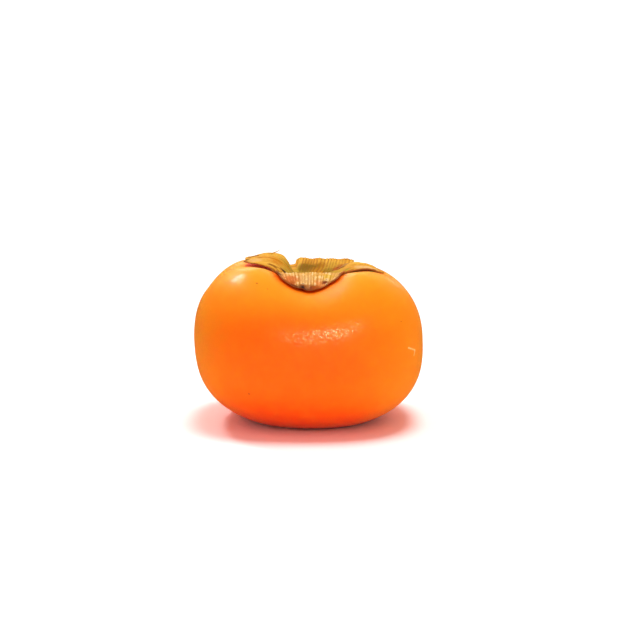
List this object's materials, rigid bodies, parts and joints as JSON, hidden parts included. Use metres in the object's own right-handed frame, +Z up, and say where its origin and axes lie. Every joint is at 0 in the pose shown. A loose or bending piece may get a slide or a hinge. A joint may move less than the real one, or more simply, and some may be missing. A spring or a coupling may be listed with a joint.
{
  "type": "persimmon",
  "caption": "Squat, four-lobed ripe persimmon fruit with a dry four-sepalled calyx and a short cut stalk, resting on its base.",
  "frame": {"origin": "centre of the fruit's footprint, on the surface it stands on", "axes": "+Z up from the base to the stalk; -Y is the side with the deepest groove of the crown"},
  "size_m": [0.0812, 0.081, 0.0583],
  "materials": {
    "skin": "satin, waxy ripe orange skin",
    "dry_sepal": "dry, matte and finely ribbed",
    "woody_stalk": "rough, dry and weathered"
  },
  "bodies": {
    "root": {"fruit": "skin", "calyx": "dry_sepal", "stalk": "woody_stalk"}
  },
  "joints": []
}
